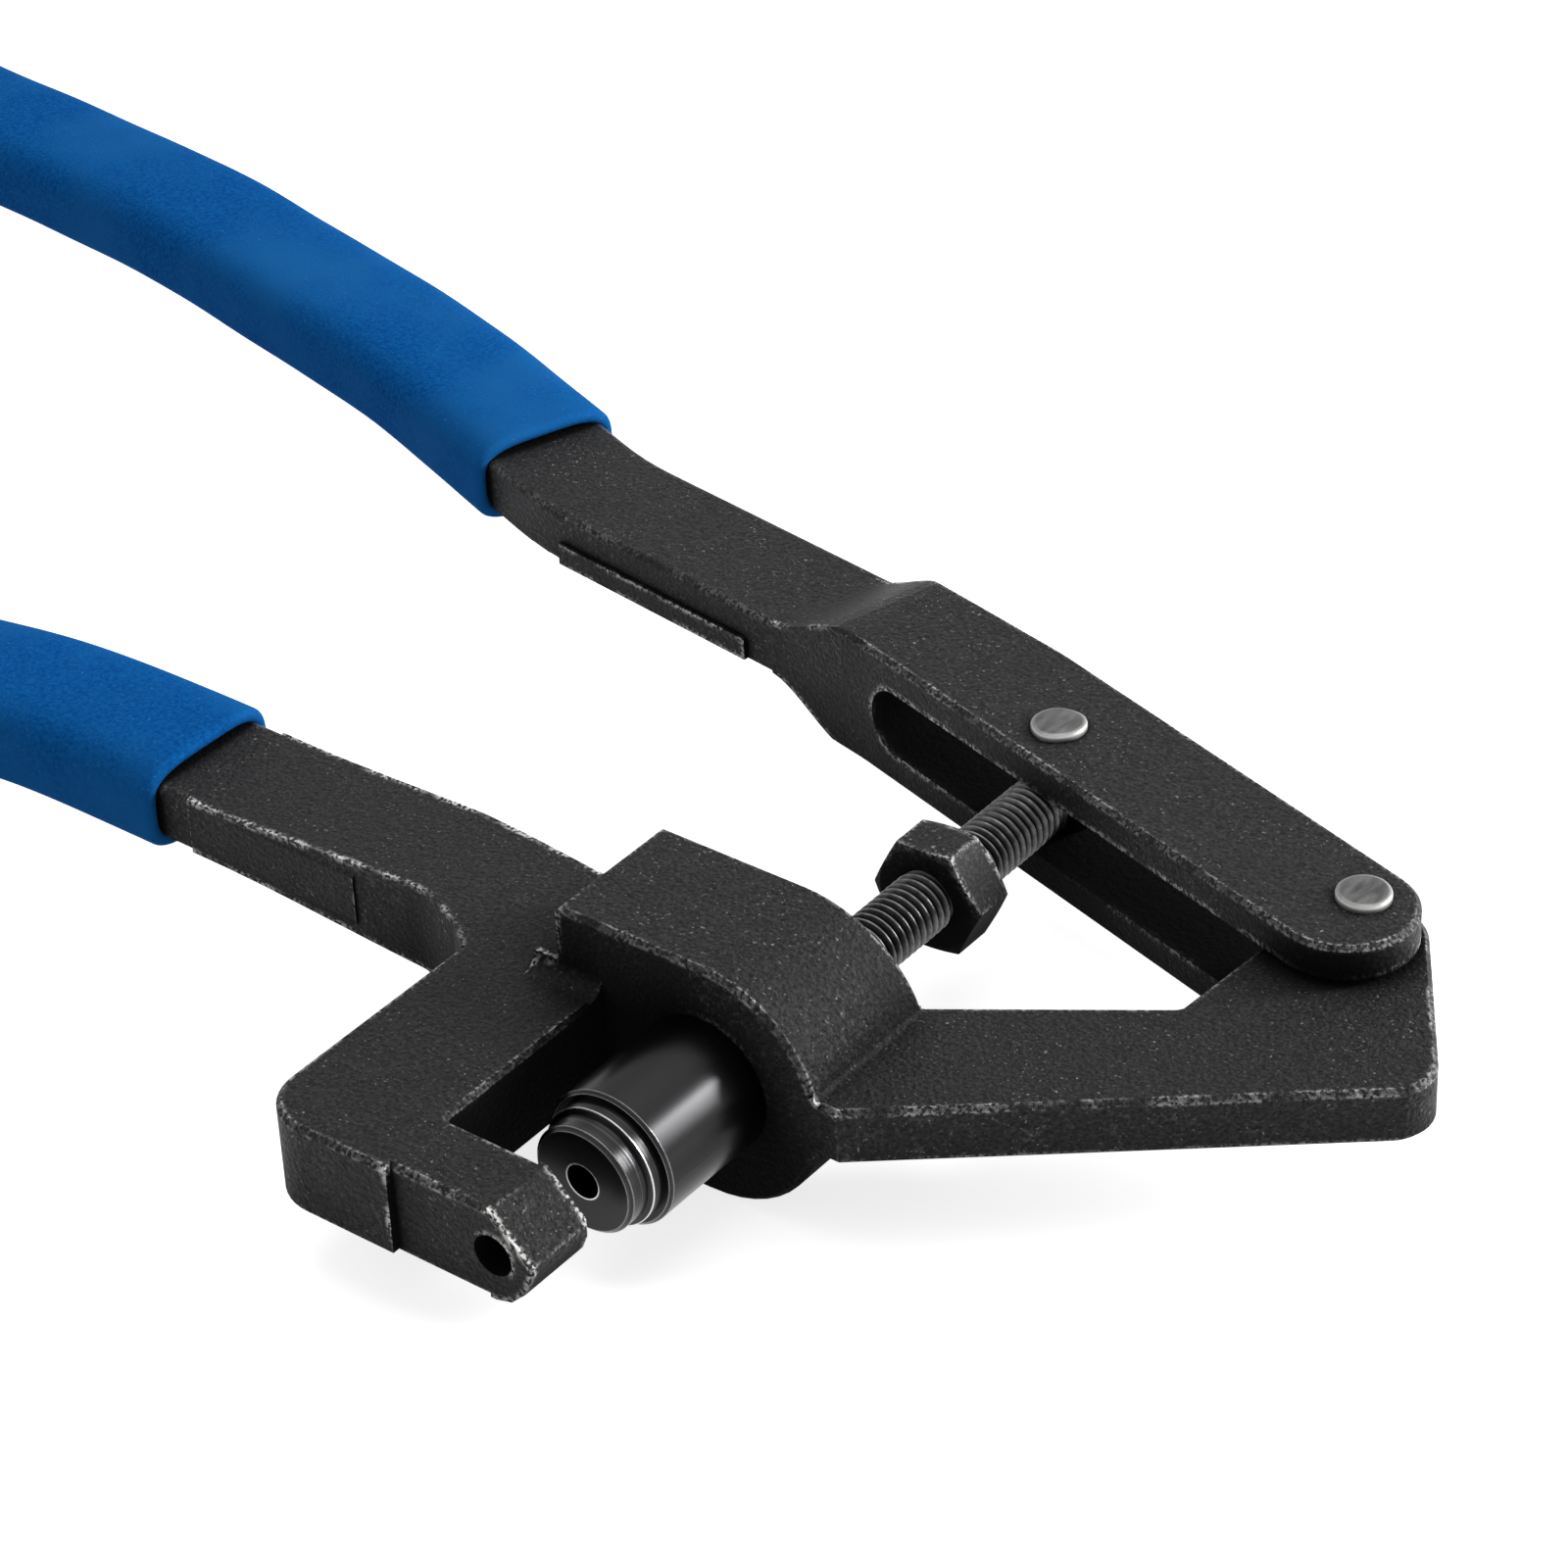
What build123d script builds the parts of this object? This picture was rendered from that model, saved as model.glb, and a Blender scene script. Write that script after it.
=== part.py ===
from build123d import *
import os
from math import atan2, cos, degrees, radians, sin, sqrt

# Snap setter pliers. Millimetres, +Z up, everything mirrored about the plane z = 0.
# The origin is the centre of the anvil seat, where the ram axis leaves the inner face of the jaw.
# +Y runs along the ram axis from the jaw towards the lever, +X from the spine towards the pivot.

# --- driving dimensions: frame forging ---------------------------------------------------------
BLOCK_HALF = 7.7          # half thickness of jaw and spine
JAW_DEPTH = 12.2          # jaw thickness along the ram axis at the machined pad
PAD_STEP = 1.2            # how far the raw forging stands proud of the machined pad
PAD_EDGE_X = -17.4        # where the pad's shoulder stands
SPINE_OUT_X = -42.4
SPINE_IN_X = -17.9
SPINE_OUT_TOP_Y = 32.0    # where the spine's outer side meets the shoulder
CORNER_R = 9.0            # outer corner of the jaw
SEAT_CORNER_R = 0.8       # inner corner between jaw and spine
JAW_NOSE_X = 6.9          # tip of the jaw beyond the ram axis
JAW_NOSE_UNDER = [(5.4, -4.3), (2.8, -6.9)]   # rounded underside of the tip, in X and Z
JAW_NOSE_BREAK = 0.5
DIE_HOLE_R = 3.3
THROAT_END_Y = 34.2       # machined front face of the boss
BOSS_BACK_Y = 61.0
BOSS_R = 19.8             # round barrel, level with the flat slab beside it
SLAB_LEFT_X = -25.8
SLAB_BACK_LEAN = 2.4      # draft of the back face from mid plane to slab top
SLAB_ROOT_R = 4.5         # fillet between slab and spine
LEDGE_R = 2.8             # fillet in front of the slab, cut back by the machined face
LEDGE = 0.4
BORE_R = 10.95
TANG_WIDTH = 22.2
TANG_THICK = 9.8
TANG_EDGE_R = 1.2
SHOULDER_START_X = -104.0
SHOULDER_END_X = -46.0
SHOULDER_NEAR = [(SHOULDER_START_X, 39.6), (-56.0, 39.5), (-47.5, 36.0)]
SHOULDER_FAR = [(-38.0, 57.4), (-62.0, 60.0), (SHOULDER_START_X, 61.7)]
SHOULDER_BEND_R = 12.0
ARM_HALF = 4.6
ARM_START_X = 8.0         # the arm grows out of the barrel from here
ARM_FRONT_X = 23.2        # where its front side leaves the boss face
ARM_EYE_R = 9.6
ARM_CORNER = (88.8, 85.8)
ARM_CORNER_R = 7.0
ARM_INNER = [(49.4, 88.2), (48.9, 81.4), (19.0, 61.2)]
ARM_INNER_R = 2.0
ARM_END_LEAN = radians(34.5)   # direction that the outer end of the arm faces
ARM_FILLET_R = 1.2
EDGE_BREAK = 0.7

# --- driving dimensions: lever forging ---------------------------------------------------------
PIVOT = (60.9, 110.6)
ROD_PIN = (0.0, 122.0)
LEVER_ANGLE = 16.4        # degrees, body of the lever against the X axis
LEVER_WIDTH = 22.0
LEVER_HALF = 11.3
LEVER_CENTRE = -3.1       # middle of the body against the pivot, across the lever
LEVER_BODY_BACK = -122.2  # along the lever from the pivot, where the ramp meets the tang
LEVER_RAMP = 18.2
LEVER_NOSE_X = -0.6       # centre of the rounded end, along the lever from the pivot
LEVER_NEAR_SWELL = [(-100.0, 0.8, 30.0), (LEVER_BODY_BACK, 2.2, 0.0)]   # station, width added, bend
LEVER_FAR_TAPER = [(-78.0, 0.0, 60.0), (-106.0, 2.0, 40.0), (LEVER_BODY_BACK, 3.6, 0.0)]
SLOT_HALF = 5.7
SLOT_BACK = -97.5
SLOT_MOUTH = 20.0         # the cut runs out past the rounded end by this much
FLASH_START_X = -66.0
FLASH_END_X = -110.0
FLASH_PROUD = 0.8
FLASH_TOP = -0.4
FLASH_LIFT = 0.6          # gap between the ledge and the underside of the tang

# --- driving dimensions: handles ---------------------------------------------------------------
FRAME_HANDLE = [(-70.0, 50.3), (-142.0, 51.3), (-212.0, 37.6), (-316.0, 30.7)]
FRAME_BENDS = [150.0, 220.0]
LEVER_HANDLE = [(-34.0, 136.6), (-112.0, 147.6), (-166.0, 167.9), (-240.0, 185.7), (-318.0, 193.6)]
LEVER_BENDS = [70.0, 260.0, 300.0]
TANG_STOP = 12.0          # the tang ends this far before the closed end of its grip
TANG_END_GAP = 1.0
GRIP_WIDTH = 27.0
GRIP_THICK = 15.6
GRIP_CORNER_R = 4.2
GRIP_END_R = 3.4
GRIP_FIT = 0.05
FRAME_LIP_X = -110.0
LEVER_LIP_X = -127.0
LIP_R = 1.8

# --- driving dimensions: ram, rod and fasteners ------------------------------------------------
RAM_R = 10.88
RAM_NOSE_R = 8.6
RAM_NECK_R = 9.5
DIE_GAP = 7.0             # anvil seat to ram nose at rest
NOSE_LENGTH = 3.6
NOSE_BREAK = 0.6
NECK_STEP = 0.3
NECK_LENGTH = 2.4
RIM_BREAK = 0.5
RAM_BACK_Y = 58.0
RAM_BACK_BREAK = 0.8
RAM_HOLE_R = 2.75
RAM_HOLE_DEPTH = 16.0
DIE_THREAD = 6.0          # length of the die's own stretch of thread
SCREW_HOLE_R = 2.4        # deeper stretch of the hole, where the set screw sits
ROD_SOCKET_R = 5.7
ROD_SOCKET_DEPTH = 22.0
ROD_R = 5.0
ROD_TIP_GAP = 1.5
ROD_TIP_BREAK = 1.0
EYE_HALF = 4.6
EYE_R = 6.2
EYE_HOLE_R = 3.85
EYE_BLEND = 5.0           # the round shank ends this far before the rivet
NUT_FLATS = 17.0
NUT_TURN = 4.0            # degrees about the rod
NUT_THICK = 8.0
NUT_Y = 91.2
NUT_BORE_R = 5.05
NUT_BREAK = (0.66, 1.54)  # corner chamfer, across and along the rod
PIVOT_SHANK_R = 3.5
ROD_SHANK_R = 3.0
HEAD_R = 4.2
HEAD_PROUD = 1.3
HEAD_EDGE_R = 0.4
PIN_RUN = 0.06            # running clearance of the arm eye on the pivot rivet
SCREW_R = 2.34
SCREW_LENGTH = 6.0
SCREW_DEPTH = 6.6
SCREW_SOCKET = 2.5        # across flats
SCREW_BREAK = 0.4
PAST = 1.0                # how far cuts run past the faces they open


def along_y(radius, start, stop):
    """A cylinder on the ram axis between two stations."""
    centre = (start + stop) / 2
    return Pos(0, centre, 0) * Rot(90, 0, 0) * Cylinder(radius, stop - start)


def plate(points, half, rounds=()):
    """A flat plate from a plan outline, with chosen corners rounded."""
    outline = make_face(Polyline(*points, close=True))
    for (x, y), radius in rounds:
        corner = outline.vertices().sort_by_distance((x, y, 0))[0]
        outline = fillet(corner, radius)
    return extrude(outline, half, both=True)


def side_profile(points, start, stop):
    """A solid carried along Y from a profile drawn in X and Z."""
    face = make_face(Polyline(*[(x, start, z) for x, z in points], close=True))
    return extrude(face, stop - start, dir=(0, 1, 0))


def softened(solid, radius, half):
    """Break the edges that lie in the top and bottom faces."""
    flat = solid.edges().filter_by(lambda e: abs(abs(e.center().Z) - half) < 1e-3)
    return chamfer(flat, radius)


def ramp_heights(start, stop, low, high, steps=8):
    """Half thickness along a smooth ramp, as (position, half thickness) pairs."""
    rise = []
    for i in range(steps + 1):
        t = i / steps
        rise.append((start + (stop - start) * t, low + (high - low) * t * t * (3 - 2 * t)))
    return rise


def mirrored_band(heights):
    """Close a run of half thicknesses into an outline above and below the mid plane."""
    return heights + [(x, -z) for x, z in reversed(heights)]


def handle_path(points, bends, start_x=None, trim=0.0):
    """Handle centre line: straight runs joined by tangent arcs."""
    points = list(points)
    if start_x is not None:
        keep = [p for p in points if p[0] < start_x]
        before = points[len(points) - len(keep) - 1]
        after = keep[0]
        t = (start_x - before[0]) / (after[0] - before[0])
        points = [(start_x, before[1] + t * (after[1] - before[1]))] + keep
        bends = bends[-(len(points) - 2):]
    last, prior = Vector(*points[-1]), Vector(*points[-2])
    tip = last - (last - prior).normalized() * trim
    points[-1] = (tip.X, tip.Y)
    return FilletPolyline(*points, radius=bends)


def carried(path, width, thick, corner_r):
    """A rounded rectangular bar carried along a path."""
    section = Plane(origin=path @ 0, x_dir=(0, 0, 1), z_dir=path % 0) * RectangleRounded(
        thick, width, corner_r)
    return sweep(section, path=path)


def grip(points, bends, lip_x):
    """A foam sleeve with one open lip and one closed end, pushed on the tang."""
    outer = carried(handle_path(points, bends, lip_x), GRIP_WIDTH, GRIP_THICK, GRIP_CORNER_R)
    tang = handle_path(points, bends, trim=TANG_STOP - TANG_END_GAP)
    inner = carried(tang, TANG_WIDTH + 2 * GRIP_FIT, TANG_THICK + 2 * GRIP_FIT, TANG_EDGE_R)
    end = outer.faces().sort_by(Axis.X)[0]
    outer = fillet(end.edges(), GRIP_END_R)
    lip = outer.faces().sort_by(Axis.X)[-1]
    outer = fillet(lip.edges(), LIP_R)
    return outer - inner


# --- frame -------------------------------------------------------------------------------------
def jaw_and_spine():
    """C-shaped block: jaw, outer corner and spine, with the machined pad in front."""
    front = -JAW_DEPTH
    raw = front - PAD_STEP
    block = plate(
        [(SHOULDER_END_X + PAST, SHOULDER_NEAR[-1][1]), (SPINE_OUT_X, SPINE_OUT_TOP_Y),
         (SPINE_OUT_X, raw), (PAD_EDGE_X, raw), (PAD_EDGE_X, front), (0, front), (0, 0),
         (SPINE_IN_X, 0), (SPINE_IN_X, THROAT_END_Y + PAST), (SPINE_OUT_X, THROAT_END_Y + CORNER_R)],
        BLOCK_HALF, [((SPINE_OUT_X, raw), CORNER_R), ((SPINE_IN_X, 0), SEAT_CORNER_R)])
    block = softened(block, EDGE_BREAK, BLOCK_HALF)
    nose = side_profile(
        [(-PAST, BLOCK_HALF), (0, BLOCK_HALF), (JAW_NOSE_X, EDGE_BREAK), (JAW_NOSE_X, -EDGE_BREAK),
         *JAW_NOSE_UNDER, (0, -BLOCK_HALF), (-PAST, -BLOCK_HALF)], front, 0)
    nose = chamfer(nose.edges().filter_by(Axis.Z).sort_by(Axis.X)[-2:], JAW_NOSE_BREAK)
    return block + nose


def boss():
    """Barrel that guides the ram, with a flat slab on its left, the same above and below."""
    slab = side_profile(
        [(SLAB_LEFT_X, -BOSS_R), (0, -BOSS_R), (0, BOSS_R), (SLAB_LEFT_X, BOSS_R)],
        THROAT_END_Y, BOSS_BACK_Y)
    body = slab + along_y(BOSS_R, THROAT_END_Y, BOSS_BACK_Y)
    top_back = BOSS_BACK_Y - SLAB_BACK_LEAN
    front = THROAT_END_Y - PAST
    high = BOSS_R + PAST
    trim = make_face(Polyline(
        (0, front, -high), (0, top_back, -high), (0, BOSS_BACK_Y, 0), (0, top_back, high),
        (0, front, high), close=True))
    body = body & extrude(trim, 2 * BOSS_R, dir=(1, 0, 0), both=True)
    rim = body.edges().filter_by(
        lambda e: abs(abs(e.center().Z) - BOSS_R) < EDGE_BREAK / 2 and e.length > 2 * EDGE_BREAK)
    return chamfer(rim, EDGE_BREAK)


def root_fillet(radius, side, near, along, run):
    """Concave fillet from the block face up a wall, drawn in one plane and carried along."""
    mid = radius * (1 - sqrt(0.5))
    low, high = BLOCK_HALF - PAST, BLOCK_HALF + radius
    out = near + (radius if near < side else -radius)
    edge = side + (PAST if near < side else -PAST)
    bow = side - mid if near < side else side + mid
    points = [(near, BLOCK_HALF), (bow, BLOCK_HALF + mid), (out, high)]
    placed = [along(p) for p in points]
    rest = [placed[-1], along((edge, high)), along((edge, low)), along((near, low)), placed[0]]
    return extrude(make_face([ThreePointArc(*placed), Polyline(*rest)]), abs(run), dir=(
        (0, 1, 0) if run > 0 else (1, 0, 0)))


def slab_roots():
    """Concave fillets that run the slab into the spine, on its left and in front of it."""
    left = SLAB_LEFT_X - SLAB_ROOT_R
    start = THROAT_END_Y + LEDGE
    side = root_fillet(
        SLAB_ROOT_R, SLAB_LEFT_X, left, lambda p: (p[0], start, p[1]),
        BOSS_BACK_Y - SLAB_BACK_LEAN - start - PAST)
    front = root_fillet(
        LEDGE_R, THROAT_END_Y, THROAT_END_Y - LEDGE_R, lambda p: (left, p[0], p[1]),
        left - SPINE_IN_X)
    fill = side + front
    return fill + mirror(fill, Plane.XY)


def arm():
    """Flat arm from the boss out to the corner and up to the pivot eye."""
    px, py = PIVOT
    tangent = (px + ARM_EYE_R * cos(ARM_END_LEAN), py + ARM_EYE_R * sin(ARM_END_LEAN))
    back = BOSS_BACK_Y - PAST
    points = [(ARM_START_X, THROAT_END_Y), (ARM_FRONT_X, THROAT_END_Y), ARM_CORNER, tangent,
              (px, py), (px - ARM_EYE_R, py), *ARM_INNER, (2 * ARM_START_X, back),
              (ARM_START_X, back)]
    body = plate(points, ARM_HALF, [(ARM_CORNER, ARM_CORNER_R), (ARM_INNER[1], ARM_INNER_R)])
    body += Pos(px, py, 0) * Cylinder(ARM_EYE_R, 2 * ARM_HALF)
    return softened(body, EDGE_BREAK, ARM_HALF)


def arm_root():
    """Concave fillet where the barrel runs into the arm, above and below."""
    reach = BOSS_R + ARM_FILLET_R
    lift = ARM_HALF + ARM_FILLET_R
    cx = sqrt(reach ** 2 - lift ** 2)
    tx, tz = cx * BOSS_R / reach, lift * BOSS_R / reach
    mid = 0.5 * (atan2(tz - lift, tx - cx) + radians(-90))
    start = THROAT_END_Y
    arc = ThreePointArc(
        (cx, start, ARM_HALF),
        (cx + ARM_FILLET_R * cos(mid), start, lift + ARM_FILLET_R * sin(mid)),
        (tx, start, tz))
    low = ARM_HALF - PAST
    rest = Polyline((tx, start, tz), (tx - 2 * PAST, start, low), (cx, start, low),
                    (cx, start, ARM_HALF))
    fill = extrude(make_face([arc, rest]), BOSS_BACK_Y - start - PAST, dir=(0, 1, 0))
    return fill + mirror(fill, Plane.XY)


def shoulder():
    """Smooth rise from the tang to the thicker spine."""
    far = BOSS_BACK_Y - SLAB_BACK_LEAN - PAST
    plan = plate(
        [*SHOULDER_NEAR, (SPINE_OUT_X, SPINE_OUT_TOP_Y), (SPINE_IN_X - PAST, SPINE_OUT_TOP_Y),
         (SPINE_IN_X - PAST, far), (SLAB_LEFT_X, far), *SHOULDER_FAR],
        BLOCK_HALF, [(SHOULDER_NEAR[1], SHOULDER_BEND_R)])
    heights = ramp_heights(SHOULDER_START_X, SHOULDER_END_X, TANG_THICK / 2, BLOCK_HALF)
    heights += [(SPINE_IN_X, BLOCK_HALF)]
    return plan & side_profile(mirrored_band(heights), 0, BOSS_BACK_Y + CORNER_R)


def frame():
    tang = carried(handle_path(FRAME_HANDLE, FRAME_BENDS, trim=TANG_STOP), TANG_WIDTH, TANG_THICK,
                   TANG_EDGE_R)
    body = jaw_and_spine() + shoulder() + boss() + slab_roots() + arm() + arm_root() + tang
    body -= along_y(BORE_R, THROAT_END_Y - PAST, BOSS_BACK_Y + PAST)
    body -= along_y(DIE_HOLE_R, -JAW_DEPTH - PAST, PAST)
    body -= Pos(*PIVOT, 0) * Cylinder(PIVOT_SHANK_R + PIN_RUN, 4 * ARM_HALF)
    return body


# --- lever -------------------------------------------------------------------------------------
def lever_place(shape):
    """Turn a shape drawn along the lever, with its pivot at the origin, into its place."""
    return Pos(*PIVOT, 0) * Rot(0, 0, -LEVER_ANGLE) * shape


def lever_body():
    """Thick clevis body with its slot, ramped down to the tang."""
    half = LEVER_WIDTH / 2
    low, high = LEVER_CENTRE - half, LEVER_CENTRE + half
    near = [((x, low - swell), bend) for x, swell, bend in LEVER_NEAR_SWELL]
    far = [((x, high - taper), bend) for x, taper, bend in LEVER_FAR_TAPER]
    corners = [p for p, _ in far[::-1] + [((LEVER_NOSE_X, high), 0), ((LEVER_NOSE_X, low), 0)] + near]
    outline = plate(corners, LEVER_HALF, [(p, bend) for p, bend in near + far if bend])
    outline += Pos(LEVER_NOSE_X, LEVER_CENTRE, 0) * Cylinder(half, 2 * LEVER_HALF)
    outline = softened(outline, EDGE_BREAK, LEVER_HALF)
    heights = ramp_heights(LEVER_BODY_BACK, LEVER_BODY_BACK + LEVER_RAMP, TANG_THICK / 2, LEVER_HALF)
    heights += [(half + PAST, LEVER_HALF)]
    body = outline & side_profile(mirrored_band(heights), low - half, high + half)
    return lever_place(body - slot())


def slot():
    """Round-backed slot that takes the arm and the rod."""
    back = SLOT_BACK + SLOT_HALF
    across = 2 * LEVER_WIDTH
    cut = Pos((back + SLOT_MOUTH) / 2, LEVER_CENTRE, 0) * Box(
        SLOT_MOUTH - back, across, 2 * SLOT_HALF)
    return cut + Pos(back, LEVER_CENTRE, 0) * Rot(90, 0, 0) * Cylinder(SLOT_HALF, across)


def flash_line():
    """Trimmed forging flash left as a low ledge along the near side of the tang."""
    (x0, y0), (x1, y1) = LEVER_HANDLE[:2]
    slope = (y1 - y0) / (x1 - x0)
    tilt = atan2(slope, 1)
    centre_x = (FLASH_START_X + FLASH_END_X) / 2
    centre_y = y0 + slope * (centre_x - x0) - TANG_WIDTH / 2 / cos(tilt)
    height = FLASH_TOP + TANG_THICK / 2 - FLASH_LIFT
    ledge = Box(FLASH_START_X - FLASH_END_X, 2 * FLASH_PROUD, height)
    return Pos(centre_x, centre_y, FLASH_TOP - height / 2) * Rot(0, 0, degrees(tilt)) * ledge


def lever():
    tang = carried(handle_path(LEVER_HANDLE, LEVER_BENDS, trim=TANG_STOP), TANG_WIDTH, TANG_THICK,
                   TANG_EDGE_R)
    body = lever_body() + (tang - lever_place(slot())) + flash_line()
    body -= Pos(*PIVOT, 0) * Cylinder(PIVOT_SHANK_R, 3 * LEVER_HALF)
    body -= Pos(*ROD_PIN, 0) * Cylinder(ROD_SHANK_R, 3 * LEVER_HALF)
    return body


# --- ram, rod and fasteners --------------------------------------------------------------------
def ram():
    """Turned plunger with a stepped nose, a threaded die hole and a socket for the rod."""
    front = DIE_GAP
    nose = front + NOSE_LENGTH
    neck = nose + NECK_LENGTH
    profile = Polyline(
        (0, front), (RAM_NOSE_R - NOSE_BREAK, front), (RAM_NOSE_R, front + NOSE_BREAK),
        (RAM_NOSE_R, nose), (RAM_NECK_R, nose + NECK_STEP), (RAM_NECK_R, neck),
        (RAM_R - RIM_BREAK, neck), (RAM_R, neck + RIM_BREAK), (RAM_R, RAM_BACK_Y - RAM_BACK_BREAK),
        (RAM_R - RAM_BACK_BREAK, RAM_BACK_Y), (0, RAM_BACK_Y), close=True)
    body = revolve(make_face(profile), Axis.Y)
    body -= along_y(RAM_HOLE_R, front - PAST, front + DIE_THREAD)
    body -= along_y(SCREW_HOLE_R, front + DIE_THREAD, front + RAM_HOLE_DEPTH)
    body -= along_y(ROD_SOCKET_R, RAM_BACK_Y - ROD_SOCKET_DEPTH, RAM_BACK_Y + PAST)
    return body


def rod():
    """Threaded rod, drawn to its outer diameter, with a flattened eye on the rod rivet."""
    start = RAM_BACK_Y - ROD_SOCKET_DEPTH + ROD_TIP_GAP
    eye_y = ROD_PIN[1]
    shank = along_y(ROD_R, start, eye_y - EYE_BLEND)
    shank = chamfer(shank.edges().sort_by(Axis.Y)[0], ROD_TIP_BREAK)
    body = shank + Pos(0, eye_y, 0) * Cylinder(EYE_R, 2 * EYE_HALF)
    return body - Pos(0, eye_y, 0) * Cylinder(EYE_HOLE_R, 2 * EYE_R)


def nut():
    """Hexagon lock nut, with its corners chamfered on both faces."""
    prism = Pos(0, NUT_Y, 0) * Rot(90, 0, 0) * extrude(
        RegularPolygon(NUT_FLATS / 2, 6, major_radius=False, rotation=NUT_TURN),
        NUT_THICK / 2, both=True)
    cone = along_y(NUT_FLATS / sqrt(3), NUT_Y - NUT_THICK / 2, NUT_Y + NUT_THICK / 2)
    cone = chamfer(cone.edges(), length=NUT_BREAK[0], length2=NUT_BREAK[1])
    return (prism & cone) - along_y(NUT_BORE_R, NUT_Y - NUT_THICK, NUT_Y + NUT_THICK)


def rivet(place, shank_r):
    """Headed pin through both prongs of the lever, peened over at each end."""
    body = Cylinder(shank_r, 2 * LEVER_HALF)
    head = Pos(0, 0, LEVER_HALF + HEAD_PROUD / 2) * Cylinder(HEAD_R, HEAD_PROUD)
    head = fillet(head.edges().filter_by(GeomType.CIRCLE).sort_by(Axis.Z)[-1], HEAD_EDGE_R)
    return Pos(*place, 0) * (body + head + mirror(head, Plane.XY))


def set_screw():
    """Short socket screw that backs the die stud inside the ram."""
    start = DIE_GAP + SCREW_DEPTH
    body = along_y(SCREW_R, start, start + SCREW_LENGTH)
    body = chamfer(body.edges().filter_by(GeomType.CIRCLE), SCREW_BREAK)
    socket = Pos(0, start, 0) * Rot(90, 0, 0) * extrude(
        RegularPolygon(SCREW_SOCKET / 2, 6, major_radius=False), SCREW_LENGTH / 2, both=True)
    return body - socket


PARTS = {
    "frame": frame,
    "frame_grip": lambda: grip(FRAME_HANDLE, FRAME_BENDS, FRAME_LIP_X),
    "lever": lever,
    "lever_grip": lambda: grip(LEVER_HANDLE, LEVER_BENDS, LEVER_LIP_X),
    "pivot_rivet": lambda: rivet(PIVOT, PIVOT_SHANK_R),
    "rod_rivet": lambda: rivet(ROD_PIN, ROD_SHANK_R),
    "ram": ram,
    "threaded_rod": rod,
    "lock_nut": nut,
    "ram_set_screw": set_screw,
}

os.makedirs("parts", exist_ok=True)
for name, build in PARTS.items():
    export_step(build(), f"parts/{name}.step")
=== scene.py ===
import bpy
import math
import numpy as np
from mathutils import Matrix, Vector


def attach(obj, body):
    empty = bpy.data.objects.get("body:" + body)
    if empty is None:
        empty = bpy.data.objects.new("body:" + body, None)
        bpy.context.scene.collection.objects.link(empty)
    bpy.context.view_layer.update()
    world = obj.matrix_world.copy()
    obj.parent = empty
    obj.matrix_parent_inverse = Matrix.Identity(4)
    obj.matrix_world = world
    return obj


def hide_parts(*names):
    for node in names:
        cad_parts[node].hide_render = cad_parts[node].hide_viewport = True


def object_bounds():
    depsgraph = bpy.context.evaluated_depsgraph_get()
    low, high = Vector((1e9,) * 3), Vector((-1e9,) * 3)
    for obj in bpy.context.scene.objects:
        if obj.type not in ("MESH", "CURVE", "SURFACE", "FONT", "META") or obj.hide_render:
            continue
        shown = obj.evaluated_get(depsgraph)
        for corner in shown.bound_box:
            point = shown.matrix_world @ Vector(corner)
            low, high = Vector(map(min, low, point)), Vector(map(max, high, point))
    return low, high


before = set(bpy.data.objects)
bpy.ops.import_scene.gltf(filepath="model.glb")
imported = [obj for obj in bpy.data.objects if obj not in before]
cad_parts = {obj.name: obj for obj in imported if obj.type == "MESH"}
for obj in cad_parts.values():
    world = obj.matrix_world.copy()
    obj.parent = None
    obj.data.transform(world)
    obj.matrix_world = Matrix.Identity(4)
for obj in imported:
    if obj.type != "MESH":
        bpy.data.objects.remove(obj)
cad_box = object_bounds()

# --- frame -------------------------------------------------------------------------------------
# One steel drop forging: C-shaped jaw, round boss, flat arm and handle tang. It is sand blasted
# and blackened all over, and handling has rubbed the black off its corners in small specks.
FORGING_BLACK = (0.0085, 0.0085, 0.0088, 1)
FORGING_GREY = (0.032, 0.032, 0.033, 1)
# Painted shade: the near black laid deep in hollows, where the ambient occlusion is low.
PAINTED_SHADE_BLACK = (0.0012, 0.0012, 0.0012, 1)
RUBBED_STEEL = (0.80, 0.79, 0.77, 1)
# The light grey of the real specks, and of the glints painted on upright faces.
SPECK_AND_GLINT_GREY = (0.26, 0.257, 0.252, 1)
# Noise patterns: cells per metre, octaves, and the noise levels where a patch starts and is full.
SAND = (1900.0, 5.0, 0.36, 0.66)
SPECKS = (1700.0, 2.0, 0.66, 0.72)
SPECK_CLUSTERS = (130.0, 2.0, 0.35, 0.65)
# The flank pattern and FLANK_AMOUNT paint glints on upright faces, where the light grazes the
# blasted grain.
FLANK_GLINTS = (1150.0, 6.0, 0.52, 0.66)
RUBBED_PATCHES = (1600.0, 5.0, 0.45, 0.57)
RUBBED_STRETCHES = (170.0, 3.0, 0.36, 0.60)
FLANK_AMOUNT = 0.20
UPRIGHT = (0.97, 0.55)            # vertical share of the normal on a flat top and on a flank
CORNER_LEVELS = (0.90, 0.70)      # open share behind a flat face and behind a rubbed corner
CORNER_REACH = 0.0015
HOLLOW_LEVELS = (0.56, 0.92)      # open share where the painted shade in a hollow is full, and where there is none
HOLLOW_REACH = 0.030
HOLLOW_ROUGHNESS, OPEN_ROUGHNESS = 0.95, 0.50
FORGING_SHEEN = 0.08
BLAST_GRAIN, BLAST_OCTAVES, BLAST_DEPTH = 1300.0, 4.0, 0.0007


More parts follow.
